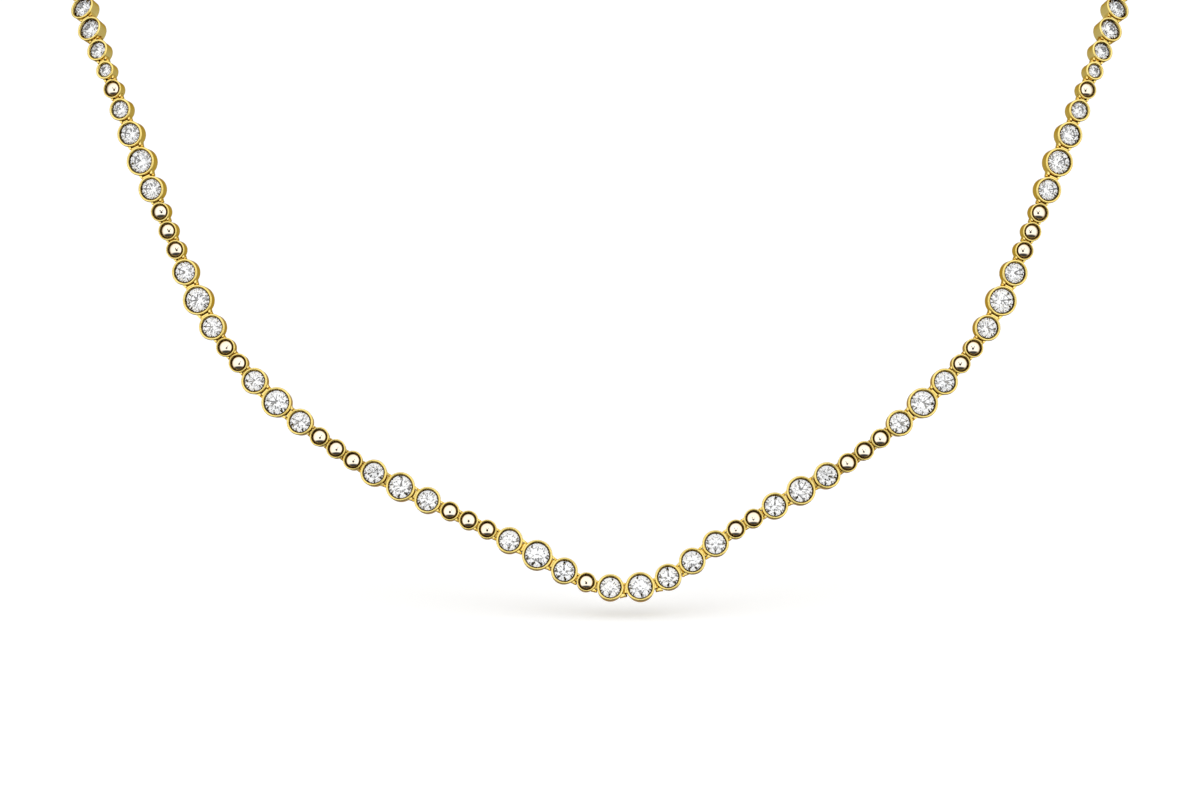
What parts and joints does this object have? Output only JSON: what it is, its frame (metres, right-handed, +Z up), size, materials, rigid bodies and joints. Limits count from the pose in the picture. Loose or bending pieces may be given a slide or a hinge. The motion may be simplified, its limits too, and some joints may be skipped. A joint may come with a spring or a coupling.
{
  "type": "diamond necklace",
  "caption": "Closed loop of hinged round gold bezel settings with faceted clear stones and small pale domes, worn form dipping to a soft V in front.",
  "frame": {"origin": "on the inner face of the clasp at the middle of the nape, where the loop hangs", "axes": "+Z up as worn, -Y towards the front of the wearer, +X to the right of someone who looks at the front"},
  "size_m": [0.1452, 0.1058, 0.0944],
  "materials": {
    "gold": "polished yellow gold",
    "stone": "cut and polished clear stone",
    "dome": "mirror-polished pale champagne gold"
  },
  "bodies": {
    "root": {"links_left": "gold", "links_right": "gold", "domes_left": "dome", "domes_right": "dome", "stones_back": "stone", "clasp": "gold", "stone_left_01": "stone", "stone_left_02": "stone", "stone_left_03": "stone", "stone_left_04": "stone", "stone_left_05": "stone", "stone_left_06": "stone", "stone_left_07": "stone", "stone_left_08": "stone", "stone_left_09": "stone", "stone_left_10": "stone", "stone_left_11": "stone", "stone_left_12": "stone", "stone_left_13": "stone", "stone_left_14": "stone", "stone_left_15": "stone", "stone_left_16": "stone", "stone_left_17": "stone", "stone_left_18": "stone", "stone_left_19": "stone", "stone_left_20": "stone", "stone_right_01": "stone", "stone_right_02": "stone", "stone_right_03": "stone", "stone_right_04": "stone", "stone_right_05": "stone", "stone_right_06": "stone", "stone_right_07": "stone", "stone_right_08": "stone", "stone_right_09": "stone", "stone_right_10": "stone", "stone_right_11": "stone", "stone_right_12": "stone", "stone_right_13": "stone", "stone_right_14": "stone", "stone_right_15": "stone", "stone_right_16": "stone", "stone_right_17": "stone", "stone_right_18": "stone", "stone_right_19": "stone", "stone_right_20": "stone"}
  },
  "joints": []
}
